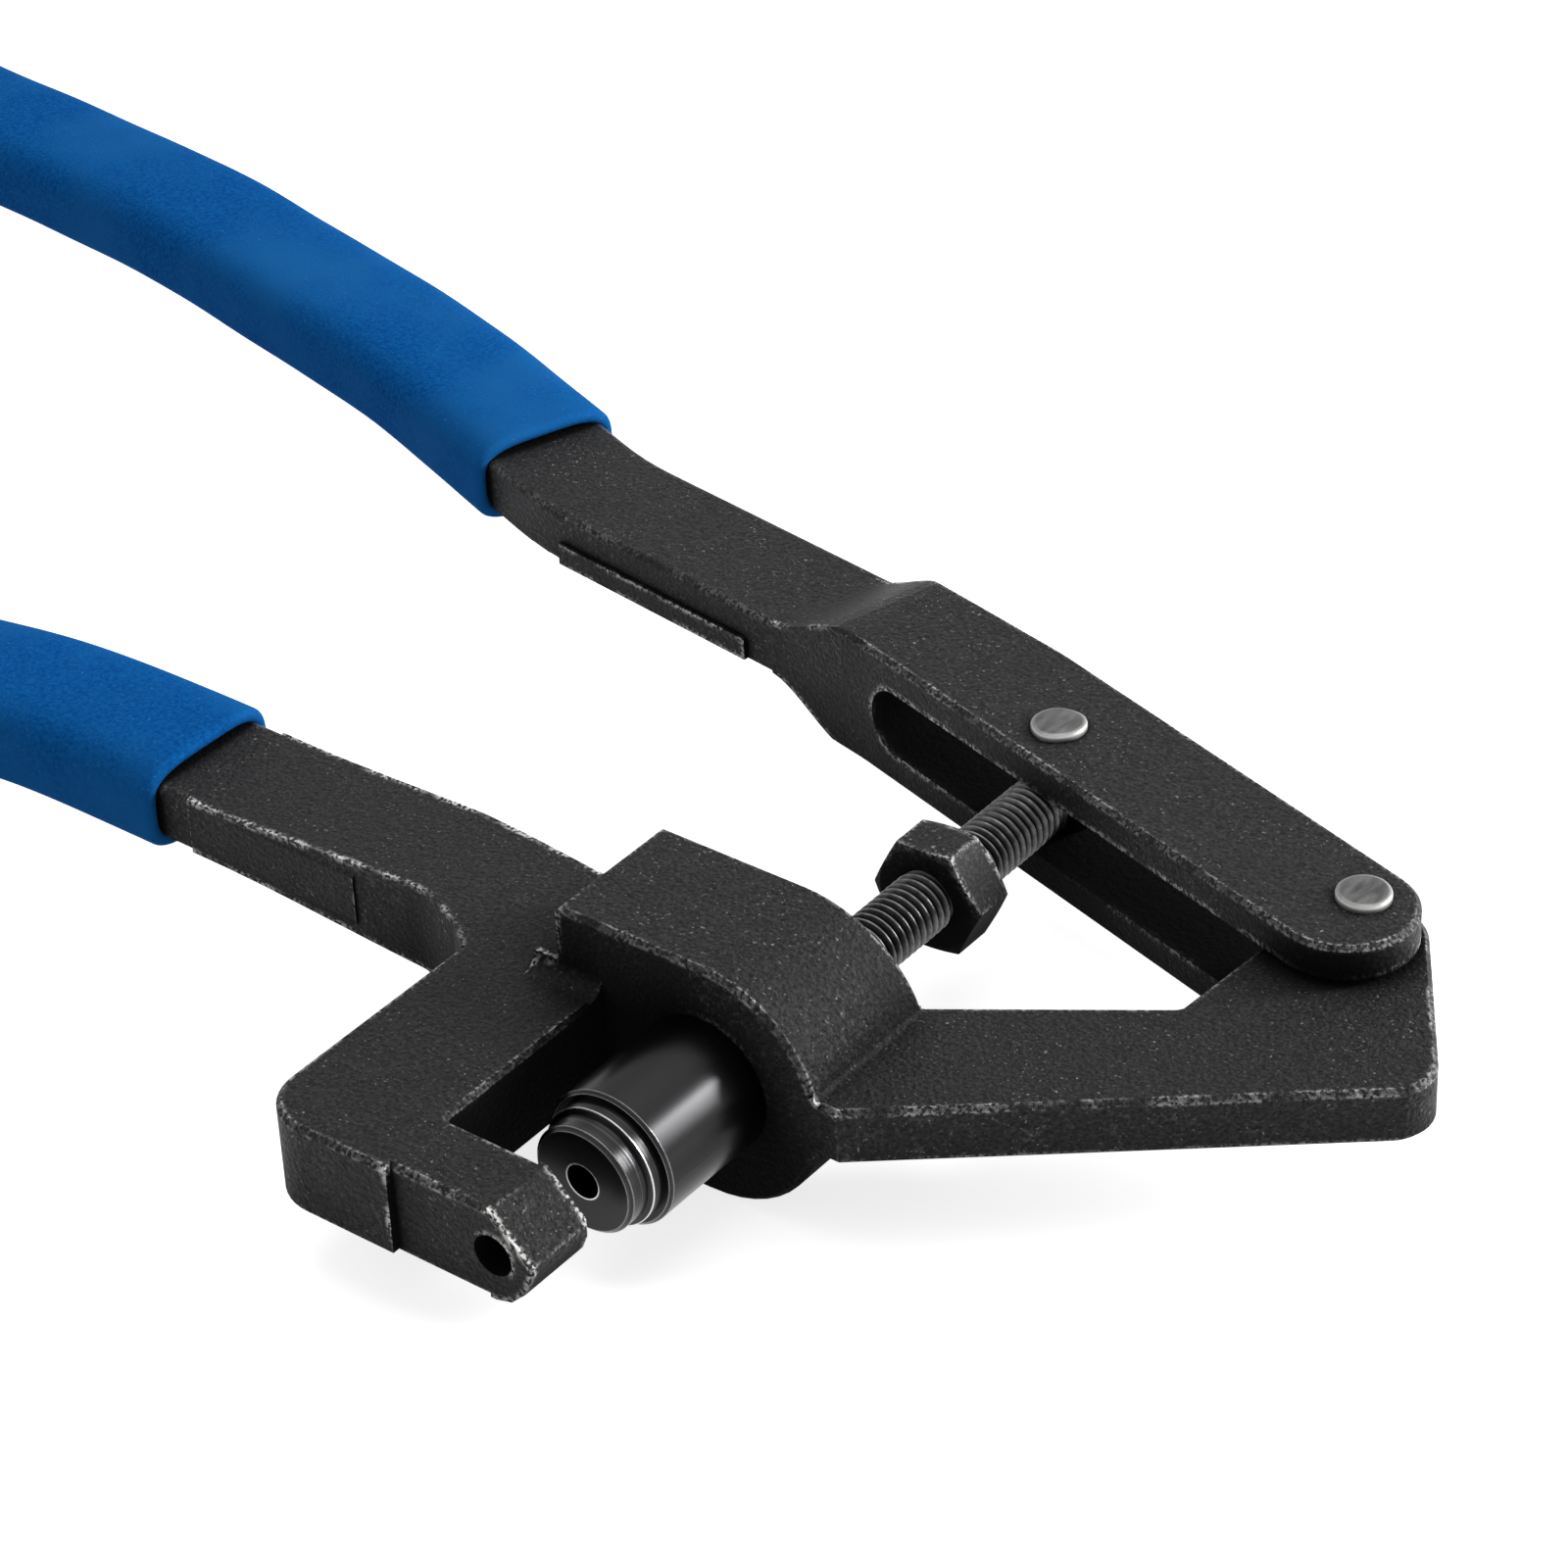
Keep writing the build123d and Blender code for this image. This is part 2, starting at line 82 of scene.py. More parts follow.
def finish_nodes(name):
    """A new material with its shader, and two short calls that add a node and join two sockets."""
    material = bpy.data.materials.new(name)
    material.use_nodes = True
    tree = material.node_tree

    def add(kind, **values):
        node = tree.nodes.new("ShaderNode" + kind)
        for key, value in values.items():
            if hasattr(node, key):
                setattr(node, key, value)
            else:
                node.inputs[key.replace("_", " ")].default_value = value
        return node

    return material, tree.nodes["Principled BSDF"], add, tree.links.new


def stepped(add, join, value, low, high):
    """The value stretched so that low becomes 0 and high becomes 1, held between them."""
    node = add("MapRange", clamp=True)
    node.inputs["From Min"].default_value = low
    node.inputs["From Max"].default_value = high
    join(value, node.inputs["Value"])
    return node.outputs["Result"]


def multiplied(add, join, first, second):
    """Product of two values, either of which may be a plain number."""
    node = add("Math", operation="MULTIPLY")
    for socket, value in zip(node.inputs, (first, second)):
        if isinstance(value, float):
            socket.default_value = value
        else:
            join(value, socket)
    return node.outputs[0]


def coloured(add, join, amount, under, over):
    """The colour under, with the colour over laid on it by the amount."""
    node = add("Mix", data_type="RGBA")
    join(amount, node.inputs["Factor"])
    for socket, value in ((node.inputs[6], under), (node.inputs[7], over)):
        if isinstance(value, tuple):
            socket.default_value = value
        else:
            join(value, socket)
    return node.outputs[2]


def grain(add, join, place, scale, octaves, stretch=None):
    """Soft noise over the piece, with scale counted per metre."""
    node = add("TexNoise", Scale=scale, Detail=octaves)
    if stretch:
        mapping = add("Mapping", Scale=stretch)
        join(place, mapping.inputs["Vector"])
        place = mapping.outputs["Vector"]
    join(place, node.inputs["Vector"])
    return node.outputs["Fac"]


def patches(add, join, place, pattern, stretch=None):
    """Noise cut into patches: 0 below the pattern's first level, 1 above its second."""
    scale, octaves, start, full = pattern
    return stepped(add, join, grain(add, join, place, scale, octaves, stretch), start, full)


def corner_mask(add, join, reach):
    """1 on corners that stand out, 0 on flats: how little metal lies close behind the surface."""
    metal = add("AmbientOcclusion", inside=True, only_local=True, Distance=reach)
    return stepped(add, join, metal.outputs["AO"], *CORNER_LEVELS)


def hollow_shade(add, join, reach):
    """0 deep in hollows, 1 in the open: the mask for painted shade and duller roughness in hollows.
    """
    hollow = add("AmbientOcclusion", Distance=reach)
    return stepped(add, join, hollow.outputs["AO"], *HOLLOW_LEVELS)


def flank_mask(add, join):
    """1 on upright faces, 0 on faces that look straight up or down."""
    facing = add("SeparateXYZ")
    join(add("TexCoord").outputs["Normal"], facing.inputs["Vector"])
    level = add("Math", operation="ABSOLUTE")
    join(facing.outputs["Z"], level.inputs[0])
    return stepped(add, join, level.outputs[0], *UPRIGHT)


def roughen(add, join, shader, height, strength, depth):
    """Raise the surface by the height, so that it catches the light unevenly."""
    bump = add("Bump", Strength=strength, Distance=depth)
    join(height, bump.inputs["Height"])
    join(bump.outputs["Normal"], shader.inputs["Normal"])


def forging_skin(name, wear, sand):
    """Blackened forging: sandy black, light specks, painted glints on upright faces, painted shade
    in hollows, corners rubbed in specks.
    """
    material, shader, add, join = finish_nodes(name)
    place = add("TexCoord").outputs["Object"]
    skin = coloured(add, join, patches(add, join, place, SAND), FORGING_BLACK, FORGING_GREY)
    clusters = patches(add, join, place, SPECK_CLUSTERS)
    specks = multiplied(add, join, patches(add, join, place, SPECKS), clusters)
    skin = coloured(add, join, specks, skin, SPECK_AND_GLINT_GREY)
    # Painted glints: light specks laid only on upright faces, where the light grazes the grain.
    flank_glints = multiplied(add, join, patches(add, join, place, FLANK_GLINTS), clusters)
    flank_glints = multiplied(add, join, flank_glints, flank_mask(add, join))
    skin = coloured(add, join, multiplied(add, join, flank_glints, FLANK_AMOUNT), skin, SPECK_AND_GLINT_GREY)
    rubbed = multiplied(
        add, join, corner_mask(add, join, CORNER_REACH), patches(add, join, place, RUBBED_PATCHES))
    rubbed = multiplied(add, join, rubbed, patches(add, join, place, RUBBED_STRETCHES))
    skin = coloured(add, join, multiplied(add, join, rubbed, wear), skin, RUBBED_STEEL)
    # Painted shade: hollows go to near black by ambient occlusion, and the same mask makes them
    # rougher.
    open_air = hollow_shade(add, join, HOLLOW_REACH)
    join(coloured(add, join, open_air, PAINTED_SHADE_BLACK, skin), shader.inputs["Base Color"])
    dull = add("MapRange")
    dull.inputs["To Min"].default_value = HOLLOW_ROUGHNESS
    dull.inputs["To Max"].default_value = OPEN_ROUGHNESS
    join(open_air, dull.inputs["Value"])
    join(dull.outputs["Result"], shader.inputs["Roughness"])
    shader.inputs["Specular IOR Level"].default_value = FORGING_SHEEN
    blasted = grain(add, join, place, BLAST_GRAIN, BLAST_OCTAVES)
    roughen(add, join, shader, blasted, sand, BLAST_DEPTH)
    return material


def dress(node, material):
    """Give a CAD node this material in all its slots."""
    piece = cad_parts[node]
    if not piece.material_slots:
        piece.data.materials.append(material)
    for place in piece.material_slots:
        place.material = material


dress("frame", forging_skin("frame forging", wear=1.0, sand=0.75))

# --- lever -------------------------------------------------------------------------------------
# The second forging: a thick slotted body that drops by a smooth ramp to a flat tang. The same
# black finish, with its near corner rubbed along most of its length.
dress("lever", forging_skin("lever forging", wear=1.0, sand=0.55))

# --- ram ---------------------------------------------------------------------------------------
# Turned plunger in the boss: a satin black cylinder with a stepped nose. The lathe left fine
# rings on the nose and neck, and the front rim has worn to a thin bright line.
RAM_BLACK = (0.026, 0.026, 0.027, 1)
RING_GREY = (0.065, 0.065, 0.066, 1)
RINGS_END, RINGS_FADE = 0.0130, 0.0004      # the rings end where the ram's full width begins
RING_OCTAVES, RING_LEVELS, RING_DEPTH = 3.0, (0.5, 0.7), 0.0001
ALONG_AXIS = (0.0, 1.0, 0.0)
RIM_REACH = 0.0004


def turned_black(name, ring_scale, ring_height, roughness):
    """Blackened turned steel: noise that varies only along the axis makes the lathe's rings."""
    material, shader, add, join = finish_nodes(name)
    place = add("TexCoord").outputs["Object"]
    rings = grain(add, join, place, ring_scale, RING_OCTAVES, ALONG_AXIS)
    along = add("SeparateXYZ")
    join(place, along.inputs["Vector"])
    front = stepped(add, join, along.outputs["Y"], RINGS_END + RINGS_FADE, RINGS_END)
    rings = multiplied(add, join, rings, front)
    skin = coloured(add, join, stepped(add, join, rings, *RING_LEVELS), RAM_BLACK, RING_GREY)
    rim = corner_mask(add, join, RIM_REACH)
    join(coloured(add, join, rim, skin, RUBBED_STEEL), shader.inputs["Base Color"])
    shader.inputs["Metallic"].default_value = 1.0
    shader.inputs["Roughness"].default_value = roughness
    roughen(add, join, shader, rings, ring_height, RING_DEPTH)
    return material


dress("ram", turned_black("ram black", ring_scale=2600.0, ring_height=0.45, roughness=0.26))

# --- set screw ---------------------------------------------------------------------------------
# Small socket screw down the ram's die hole, which backs the die's shank. Turned and blackened
# like the ram, with fainter rings.
screw_black = turned_black("screw black", ring_scale=2500.0, ring_height=0.1, roughness=0.35)
dress("ram_set_screw", screw_black)

# --- threaded rod ------------------------------------------------------------------------------
# Steel rod with a rolled right-hand thread of 1.5 mm pitch. It screws into the ram behind the
# boss, with a short plain neck there, and ends in a flat eye on the lever's rivet.
ROD_R = 0.005
ROD_START, ROD_END = 0.0375, 0.1172
THREAD_FROM, THREAD_TO = 0.0640, 0.1165
FADE_IN, FADE_OUT = 0.0018, 0.001
PITCH, THREAD_DEPTH = 0.0015, 0.00085
CREST_SHARE, FLANK_SHARE = 0.14, 0.74       # of half a pitch; the rest is the root
PLAIN_CUT = 0.00012                         # the plain ends are this much below the crests
TIP_BREAK = 0.0008
ROD_ROWS, ROD_COLUMNS = 740, 48
EYE_Y, EYE_R, EYE_HOLE_R, EYE_HALF = 0.122, 0.0062, 0.00385, 0.0046
EYE_EDGE, EYE_ROWS = 0.0006, 73
ROOT_BLACK, CREST_GREY = (0.012, 0.012, 0.013, 1), (0.26, 0.26, 0.26, 1)
CREST_RUB = 0.0007                          # depth below the crest that rubbing reaches
RUB_GRAIN, RUB_OCTAVES = 900.0, 3.0
ACROSS_AXIS = (1.0, 0.0, 1.0)
THREAD_ROUGHNESS = 0.32


def surface(name, points):
    """A mesh from a grid of points, rows by columns, whose last column joins the first."""
    rows, columns = points.shape[:2]
    row = np.arange(rows - 1)[:, None] * columns
    column = np.arange(columns)[None, :]
    beside = (column + 1) % columns
    corners = [row + column, row + beside, row + columns + beside, row + columns + column]
    quads = np.stack(corners, -1)
    mesh = bpy.data.meshes.new(name)
    mesh.from_pydata(points.reshape(-1, 3).tolist(), [], quads.reshape(-1, 4).tolist())
    mesh.polygons.foreach_set("use_smooth", np.ones(len(mesh.polygons), bool))
    piece = bpy.data.objects.new(name, mesh)
    bpy.context.collection.objects.link(piece)
    return piece


def threaded_bar():
    """Radius = rod radius less the thread depth times a flat-topped V of (length / pitch - turn).

    The depth fades to nothing at the two ends of the thread, and the radius to nothing at the
    two ends of the bar, which closes it.
    """
    y = np.linspace(ROD_START, ROD_END, ROD_ROWS)
    y = np.concatenate([[y[0]] * 2, y, [y[-1]]])
    turn = np.linspace(0, 2 * np.pi, ROD_COLUMNS, endpoint=False)
    length, angle = np.meshgrid(y, turn, indexing="ij")
    phase = np.mod(length / PITCH - angle / (2 * np.pi), 1.0)
    flank = np.clip((np.abs(2 * phase - 1) - CREST_SHARE) / FLANK_SHARE, 0, 1)
    fade = np.clip((length - THREAD_FROM) / FADE_IN, 0, 1)
    fade = fade * np.clip((THREAD_TO - length) / FADE_OUT, 0, 1)
    radius = ROD_R - PLAIN_CUT * (1 - fade) - THREAD_DEPTH * fade * flank
    radius[0], radius[-1] = 0, 0
    radius[1] -= TIP_BREAK
    return np.stack([radius * np.sin(angle), length, radius * np.cos(angle)], -1)


def eye_ring():
    """A ring round the rivet: its rectangular section, edges cut, turned about the rivet's axis."""
    inner, outer, top = EYE_HOLE_R, EYE_R, EYE_HALF
    section = np.array([
        (inner, -top + EYE_EDGE), (inner + EYE_EDGE, -top), (outer - EYE_EDGE, -top),
        (outer, -top + EYE_EDGE), (outer, top - EYE_EDGE), (outer - EYE_EDGE, top),
        (inner + EYE_EDGE, top), (inner, top - EYE_EDGE)])
    turn = np.linspace(0, 2 * np.pi, EYE_ROWS)[:, None]
    radius, height = section[:, 0][None, :], section[:, 1][None, :]
    return np.stack([radius * np.cos(turn), EYE_Y + radius * np.sin(turn), height + 0 * turn], -1)


def black_thread(name):
    """Blackened thread: dark in the roots, rubbed a little lighter where the radius is full."""
    material, shader, add, join = finish_nodes(name)
    place = add("TexCoord").outputs["Object"]
    flat = add("Mapping", Scale=ACROSS_AXIS)
    join(place, flat.inputs["Vector"])
    radius = add("VectorMath", operation="LENGTH")
    join(flat.outputs["Vector"], radius.inputs[0])
    crest = stepped(add, join, radius.outputs["Value"], ROD_R - CREST_RUB, ROD_R)
    crest = multiplied(add, join, crest, grain(add, join, place, RUB_GRAIN, RUB_OCTAVES))
    join(coloured(add, join, crest, ROOT_BLACK, CREST_GREY), shader.inputs["Base Color"])
    shader.inputs["Metallic"].default_value = 1.0
    shader.inputs["Roughness"].default_value = THREAD_ROUGHNESS
    return material


rod_bar = surface("threaded_bar", threaded_bar())
rod_eye = surface("rod_eye", eye_ring())
rod_bar.data.materials.append(black_thread("thread black"))
rod_eye.data.materials.append(screw_black)
for part in (rod_bar, rod_eye):
    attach(part, "rod")
    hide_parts("threaded_rod")

# --- lock nut ----------------------------------------------------------------------------------
# Hexagon nut with chamfered corners, blackened, run back along the rod to lock it. Its faces are
# smoother than the forgings and rubbed along their edges.
dress("lock_nut", forging_skin("nut black", wear=0.70, sand=0.06))

# --- rivets ------------------------------------------------------------------------------------
# Two plain steel rivets through the lever. Each head was hammered over by hand, so it is not
# quite round, and its flat top is rubbed to lighter grey steel with a bright rim.

# Each rivet: CAD node, centre, shank radius, how uneven its heads are, and its random seed.
RIVETS = [("pivot_rivet", (0.0609, 0.1106), 0.0035, 0.02, 5),
          ("rod_rivet", (0.0, 0.122), 0.003, 0.06, 2)]
RIVET_TOP, HEAD_R = 0.0126, 0.0042
# The head's rounded edge, from its middle outwards: depth below the top, and cut from its radius.
HEAD_SECTION = [(0.0, HEAD_R), (0.0, 0.0007), (0.00012, 0.0004), (0.0003, 0.0001),
                (0.0006, 0.0), (0.0013, 0.0)]
HEAD_WAVES = (2, 3, 5)
RIVET_COLUMNS = 96
STREAKS, STREAK_STRETCH = (700.0, 4.0, 0.35, 0.7), (1.0, 0.3, 1.0)
RIVET_DARK, RIVET_GREY = (0.045, 0.045, 0.045, 1), (0.14, 0.14, 0.142, 1)
RIVET_RIM, RIVET_RIM_REACH = (0.75, 0.74, 0.72, 1), 0.0011
RIVET_METAL, RIVET_ROUGHNESS = 0.5, 0.42


def peened_pin(centre, shank, unevenness, seed):
    """A pin turned about its own axis, whose heads swing in and out by a few slow waves."""
    depth = np.array([down for down, _ in HEAD_SECTION] + [HEAD_SECTION[-1][0]])
    radius = np.array([HEAD_R - cut for _, cut in HEAD_SECTION] + [shank])
    level = np.concatenate([RIVET_TOP - depth, -(RIVET_TOP - depth)[::-1]])
    radius = np.concatenate([radius, radius[::-1]])
    turn = np.linspace(0, 2 * np.pi, RIVET_COLUMNS, endpoint=False)
    random = np.random.default_rng(seed)
    waves = sum(np.cos(n * turn + random.uniform(0, 6)) * unevenness / n for n in HEAD_WAVES)
    spread = radius[:, None] * np.where(radius[:, None] > shank, 1 + waves, 1)
    return np.stack([centre[0] + spread * np.cos(turn), centre[1] - spread * np.sin(turn),
                     level[:, None] + 0 * turn], -1)


def peened_steel(name):
    """Rubbed steel: streaky grey with a bright rim."""
    material, shader, add, join = finish_nodes(name)
    place = add("TexCoord").outputs["Object"]
    streaks = patches(add, join, place, STREAKS, STREAK_STRETCH)
    skin = coloured(add, join, streaks, RIVET_DARK, RIVET_GREY)
    rim = corner_mask(add, join, RIVET_RIM_REACH)
    join(coloured(add, join, rim, skin, RIVET_RIM), shader.inputs["Base Color"])
    shader.inputs["Metallic"].default_value = RIVET_METAL
    shader.inputs["Roughness"].default_value = RIVET_ROUGHNESS
    return material


rivet_steel = peened_steel("rivet steel")
for name, centre, shank, unevenness, seed in RIVETS:
    pin = surface("peened_" + name, peened_pin(centre, shank, unevenness, seed))
    pin.data.materials.append(rivet_steel)
    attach(pin, "lever")
    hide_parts(name)

# --- foam grips --------------------------------------------------------------------------------
# A sleeve of blue foam rubber on each tang, dipped closed at the back and rounded at its lip.
# The foam is matt, finely celled, and a little fuller than the tang under it.
FOAM_BLUE = (0.0005, 0.055, 0.235, 1)
FOAM_LIGHT = (0.0040, 0.105, 0.335, 1)
FOAM_FADED = (0.0100, 0.100, 0.300, 1)
FOAM_SPECK = (0.05, 0.22, 0.50, 1)
FOAM_CELLS = (1500.0, 4.0, 0.30, 0.70)
FADED_PATCHES = (45.0, 4.0, 0.40, 0.68)
OPEN_CELLS = (2100.0, 2.0, 0.70, 0.78)
FOAM_GRAIN, FOAM_OCTAVES, FOAM_BUMP, FOAM_DEPTH = 2200.0, 3.0, 0.22, 0.0003
FOAM_ROUGHNESS, FOAM_SHEEN = 0.85, 0.03
GRIP_HALF_WIDTH, GRIP_HALF_THICK = 0.0135, 0.0078
SQUARENESS = 3.9
LIP_WALL, LIP_DEPTH, LIP_ROLL = 0.0022, 0.010, 1.3
INNER_STATIONS = [1.0, 1.0, 0.6, 0.3]         # shares of the lip's depth, from its closed inside
INNER_INSETS = [0.0, 0.0023, 0.0023, 0.0022]
WALL_START = 0.002
END_ROUND, END_PULL, END_INSET = 0.0050, 0.8, 0.0062
ARC_ROWS, BEND_POINTS, SLEEVE_COLUMNS = 14, 40, 120
SWELL, SWELL_WAVES, SWELL_PITCH = 0.00003, (0, 1, 2, 3), (60, 260)
LINE_SPACING = 0.0008
FRAME_LINE = [(-0.110, 0.05096), (-0.142, 0.0513), (-0.212, 0.0376), (-0.316, 0.0307)]
FRAME_BENDS = [0.150, 0.220]
LEVER_LINE = [(-0.127, 0.15324), (-0.166, 0.1679), (-0.240, 0.1857), (-0.318, 0.1936)]
LEVER_BENDS = [0.260, 0.300]


def bent_line(corners, bends):
    """Straight runs joined by tangent arcs, as evenly spaced points with their distances."""
    corners = np.array(corners)
    runs = [corners[:1]]
    for before, corner, after, radius in zip(corners, corners[1:], corners[2:], bends):
        arrive, leave = corner - before, after - corner
        arrive, leave = arrive / np.linalg.norm(arrive), leave / np.linalg.norm(leave)
        swing = math.acos(np.clip(arrive @ leave, -1, 1))
        side = np.sign(arrive[0] * leave[1] - arrive[1] * leave[0])
        square = np.array([-arrive[1], arrive[0]]) * side
        start = corner - arrive * radius * math.tan(swing / 2)
        turn = np.linspace(0, swing, BEND_POINTS)[:, None]
        runs.append(start + radius * (np.sin(turn) * arrive + (1 - np.cos(turn)) * square))
    line = np.concatenate(runs + [corners[-1:]])
    along = np.concatenate([[0], np.cumsum(np.linalg.norm(np.diff(line, axis=0), axis=1))])
    even = np.linspace(0, along[-1], int(along[-1] / LINE_SPACING))
    points = np.stack([np.interp(even, along, line[:, i]) for i in (0, 1)], 1)
    return even, points


def foam_sleeve(corners, bends, seed):
    """A rounded rectangle carried along the handle, rolled in at the lip and domed at the end.

    Each row is a superellipse drawn in by an inset. The inset follows a quarter round at the
    closed end, a half round at the lip, and stays just outside the tang inside the sleeve. Slow
    waves swell the foam by a fraction of a millimetre.
    """
    even, line = bent_line(corners, bends)
    direction = np.gradient(line, even, axis=0)
    length = even[-1]
    curl = np.linspace(np.pi, 0, ARC_ROWS)
    round_lip = LIP_WALL / 2
    quarter = np.linspace(0, np.pi / 2, ARC_ROWS)[1:]
    wall = even[(even > WALL_START) & (even < length - END_ROUND)]
    station = np.concatenate([
        LIP_DEPTH * np.array(INNER_STATIONS), round_lip * LIP_ROLL * (1 - np.sin(curl)), wall,
        length - END_ROUND + END_ROUND * np.sin(quarter), [length, length]])
    inset = np.concatenate([
        INNER_INSETS, round_lip * (1 - np.cos(curl)), 0 * wall,
        END_ROUND * END_PULL * (1 - np.cos(quarter)), [END_INSET, 0]])
    shrink = np.ones_like(inset)
    shrink[0], shrink[-1] = 0, 0
    place = np.stack([np.interp(station, even, line[:, i]) for i in (0, 1)], 1)
    ahead = np.stack([np.interp(station, even, direction[:, i]) for i in (0, 1)], 1)
    ahead /= np.linalg.norm(ahead, axis=1)[:, None]
    turn = np.linspace(0, 2 * np.pi, SLEEVE_COLUMNS, endpoint=False)
    c, s = np.cos(turn), np.sin(turn)
    across = np.sign(c) * np.abs(c) ** (2 / SQUARENESS)
    lift = np.sign(s) * np.abs(s) ** (2 / SQUARENESS)
    random = np.random.default_rng(seed)
    swell = sum(
        SWELL * np.sin(station[:, None] * random.uniform(*SWELL_PITCH) + turn * n
                       + random.uniform(0, 6))
        for n in SWELL_WAVES)
    wide = (GRIP_HALF_WIDTH - inset)[:, None] * shrink[:, None] + swell * shrink[:, None]
    thick = (GRIP_HALF_THICK - inset)[:, None] * shrink[:, None] + swell * shrink[:, None]
    x = place[:, :1] - ahead[:, 1:] * wide * across
    y = place[:, 1:] + ahead[:, :1] * wide * across
    return np.stack([x, y, thick * lift], -1)


def foam_blue(name):
    """Matt foam rubber: close blues in a cell pattern, faded in parts, with pale open cells."""
    material, shader, add, join = finish_nodes(name)
    place = add("TexCoord").outputs["Object"]
    faded = patches(add, join, place, FADED_PATCHES)
    under = coloured(add, join, faded, FOAM_BLUE, FOAM_FADED)
    skin = coloured(add, join, patches(add, join, place, FOAM_CELLS), under, FOAM_LIGHT)
    skin = coloured(add, join, patches(add, join, place, OPEN_CELLS), skin, FOAM_SPECK)
    join(skin, shader.inputs["Base Color"])
    shader.inputs["Roughness"].default_value = FOAM_ROUGHNESS
    shader.inputs["Specular IOR Level"].default_value = FOAM_SHEEN
    fuzz = grain(add, join, place, FOAM_GRAIN, FOAM_OCTAVES)
    roughen(add, join, shader, fuzz, FOAM_BUMP, FOAM_DEPTH)
    return material


foam = foam_blue("blue foam")
for name, node, body, corners, bends, seed in (
        ("frame_foam_grip", "frame_grip", "frame", FRAME_LINE, FRAME_BENDS, 3),
        ("lever_foam_grip", "lever_grip", "lever", LEVER_LINE, LEVER_BENDS, 8)):
    sleeve = surface(name, foam_sleeve(corners, bends, seed))
    sleeve.data.materials.append(foam)
    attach(sleeve, body)
    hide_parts(node)

# --- studio ------------------------------------------------------------------------------------
# White table and surround, a wide soft lamp overhead, and a tall soft lamp on the right, which
# draws the bright streak along the ram.
FLOOR_Z = cad_box[0][2]
TABLE_HALF = 6
TABLE_WHITE, TABLE_GLOW = (0.8, 0.8, 0.8, 1), 0.78
SURROUND_LIGHT, SURROUND_WHITE = 0.32, 1.0
VIEW_CENTRE = np.array([-0.0356, 0.0997, 0.0])
STRAIGHT_DOWN = 0.99              # a lamp whose direction is steeper takes +X as its right side


def background_rays(tree):
    """1 for rays that show the background: seen directly, in a reflection or through glass."""
    path = tree.nodes.new("ShaderNodeLightPath")
    shown = path.outputs["Is Camera Ray"]
    for kind in ("Is Glossy Ray", "Is Transmission Ray"):
        either = tree.nodes.new("ShaderNodeMath")
        either.operation = "MAXIMUM"
        tree.links.new(shown, either.inputs[0])
        tree.links.new(path.outputs[kind], either.inputs[1])
        shown = either.outputs[0]
    return shown


def table_white(name):
    """White to the camera and to reflections, with the object's shadow kept as a faint grey."""
    material, shader, add, join = finish_nodes(name)
    shader.inputs["Base Color"].default_value = TABLE_WHITE
    shader.inputs["Roughness"].default_value = 1.0
    shader.inputs["Specular IOR Level"].default_value = 0.0
    shader.inputs["Emission Color"].default_value = (1, 1, 1, 1)
    shown = background_rays(material.node_tree)
    join(multiplied(add, join, shown, TABLE_GLOW), shader.inputs["Emission Strength"])
    return material


table_mesh = bpy.data.meshes.new("table")
table_corners = [(-1, -1), (1, -1), (1, 1), (-1, 1)]
table_mesh.from_pydata(
    [(TABLE_HALF * x, TABLE_HALF * y, FLOOR_Z) for x, y in table_corners], [], [(0, 1, 2, 3)])
table = bpy.data.objects.new("table", table_mesh)
bpy.context.collection.objects.link(table)
table_mesh.materials.append(table_white("table white"))

world = bpy.data.worlds.new("studio")
bpy.context.scene.world = world
world.use_nodes = True
surround = world.node_tree
level = surround.nodes.new("ShaderNodeMapRange")
level.inputs["To Min"].default_value = SURROUND_LIGHT
level.inputs["To Max"].default_value = SURROUND_WHITE
surround.links.new(background_rays(surround), level.inputs["Value"])
surround.links.new(level.outputs["Result"], surround.nodes["Background"].inputs["Strength"])
surround.nodes["Background"].inputs["Color"].default_value = (1, 1, 1, 1)


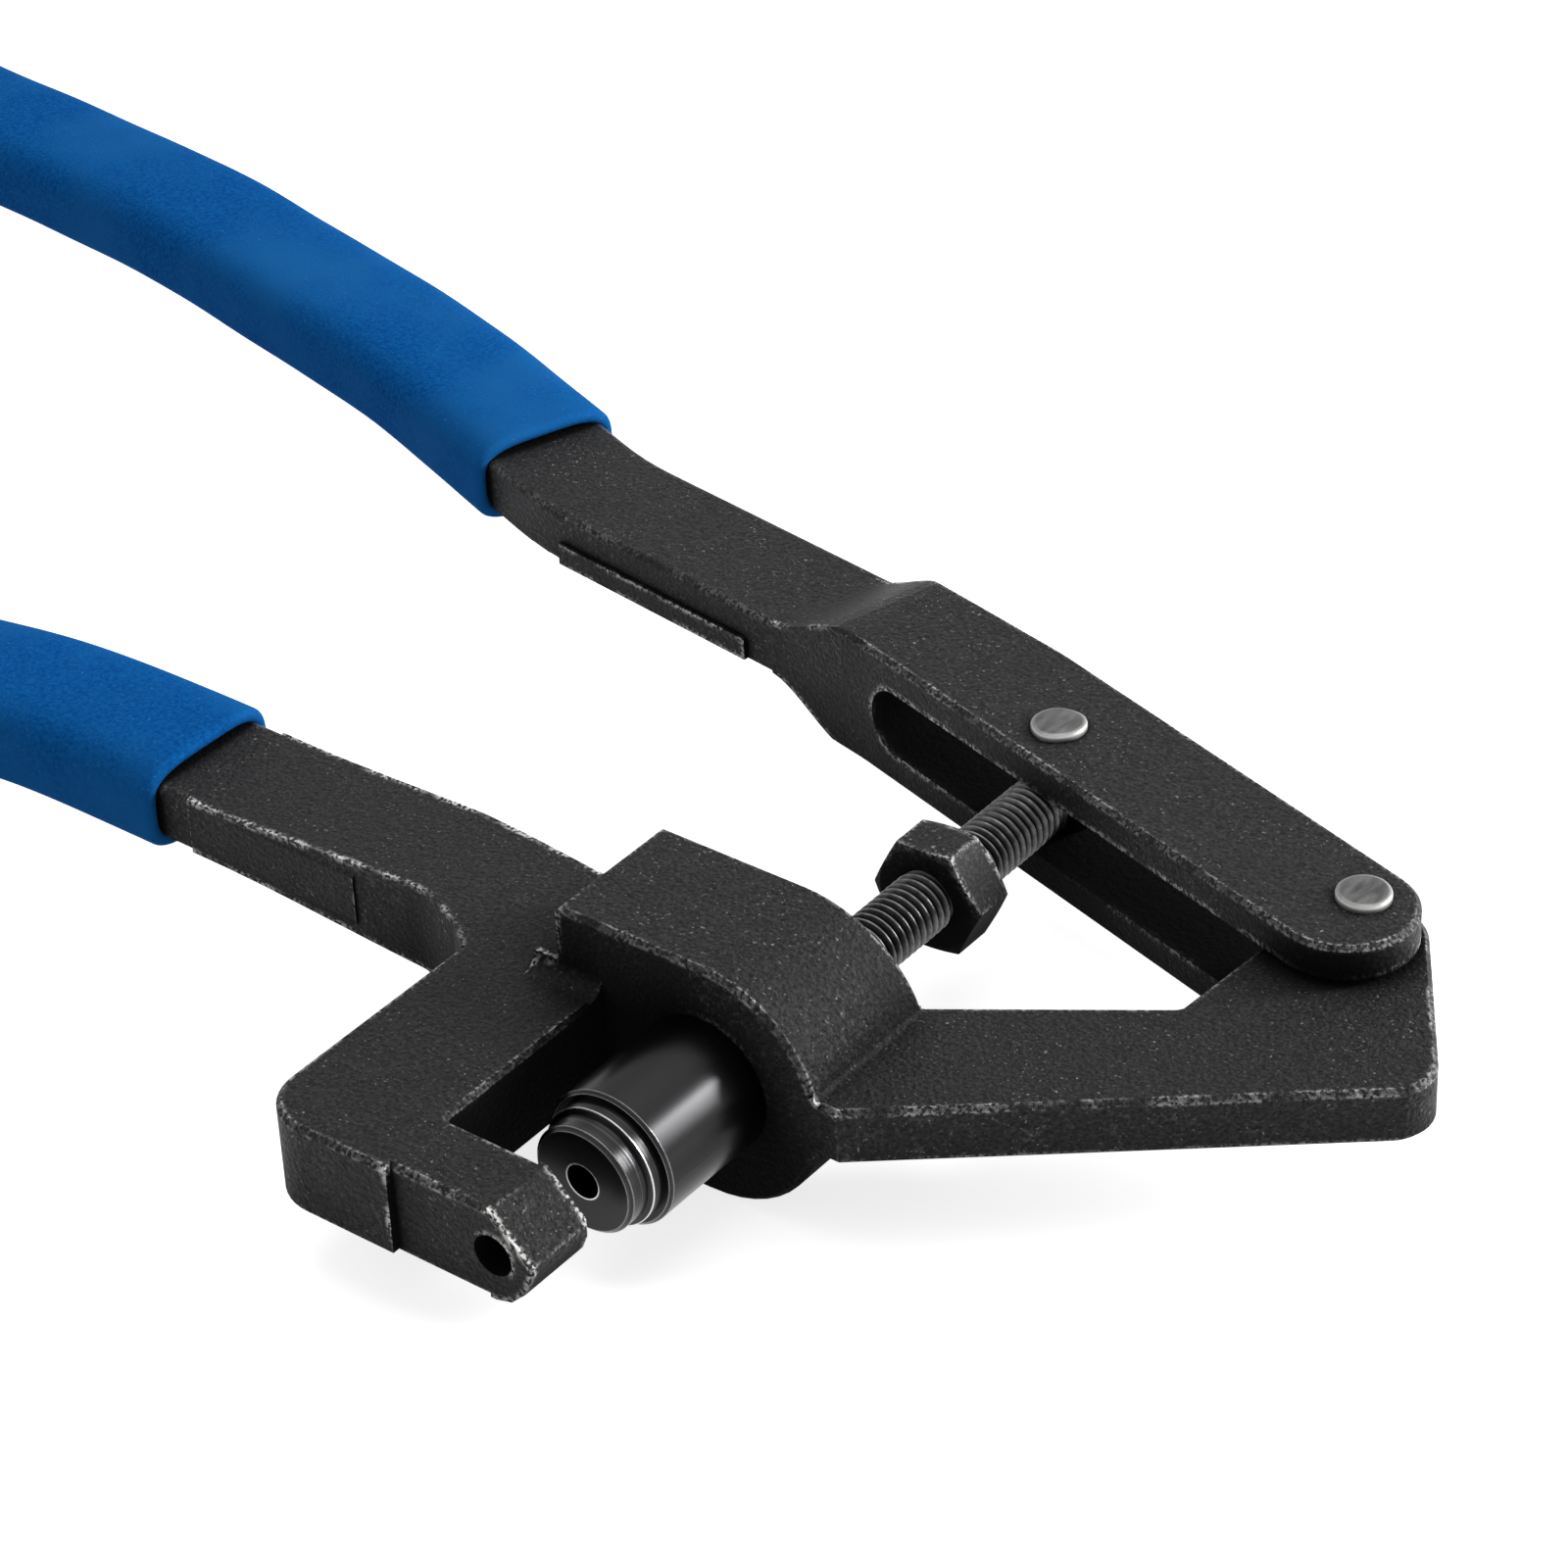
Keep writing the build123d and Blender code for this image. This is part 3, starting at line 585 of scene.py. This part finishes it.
def placed(place, right, up, back):
    """The matrix of a lamp or camera at a place, from its right, up and backward directions."""
    turn = Matrix([(*map(float, row),) for row in np.stack([right, up, back], 1)])
    return Matrix.Translation(place) @ turn.to_4x4()


def soft_lamp(name, direction, distance, width, height, power):
    """A rectangular lamp that faces the object from the given direction."""
    back = np.array(direction) / np.linalg.norm(direction)
    overhead = abs(back[2]) > STRAIGHT_DOWN
    right = np.array([1.0, 0, 0]) if overhead else np.cross((0, 0, 1), back)
    right = right / np.linalg.norm(right)
    data = bpy.data.lights.new(name, "AREA")
    data.shape, data.size, data.size_y, data.energy = "RECTANGLE", width, height, power
    lamp = bpy.data.objects.new(name, data)
    lamp.matrix_world = placed(VIEW_CENTRE + back * distance, right, np.cross(back, right), back)
    bpy.context.collection.objects.link(lamp)


soft_lamp("overhead lamp", direction=(-0.05, 0.10, 1.0), distance=1.3, width=1.3, height=1.3,
          power=8.0)
soft_lamp("right lamp", direction=(0.668, 0.645, 0.372), distance=1.0, width=0.20, height=0.45,
          power=13.0)

# --- camera ------------------------------------------------------------------------------------
# A long lens from the front right, looking down on the jaw, tipped a little to the left.
ELEVATION, AZIMUTH, TILT = np.radians([34.29, 38.68, -2.55])
CAMERA_PLACE = (0.3520, -0.3846, 0.4230)
LENS, FILM_WIDTH, CLIP_START = 112.5, 36.0, 0.01
back = np.array([
    math.sin(AZIMUTH) * math.cos(ELEVATION), -math.cos(AZIMUTH) * math.cos(ELEVATION),
    math.sin(ELEVATION)])
level_right = np.cross((0, 0, 1), back)
level_right /= np.linalg.norm(level_right)
level_up = np.cross(back, level_right)
right = math.cos(TILT) * level_right + math.sin(TILT) * level_up
up = math.cos(TILT) * level_up - math.sin(TILT) * level_right
lens = bpy.data.cameras.new("camera")
lens.lens, lens.sensor_width, lens.clip_start = LENS, FILM_WIDTH, CLIP_START
camera = bpy.data.objects.new("camera", lens)
camera.matrix_world = placed(CAMERA_PLACE, right, up, back)
bpy.context.collection.objects.link(camera)
bpy.context.scene.camera = camera
bpy.context.scene.view_settings.view_transform = "Standard"
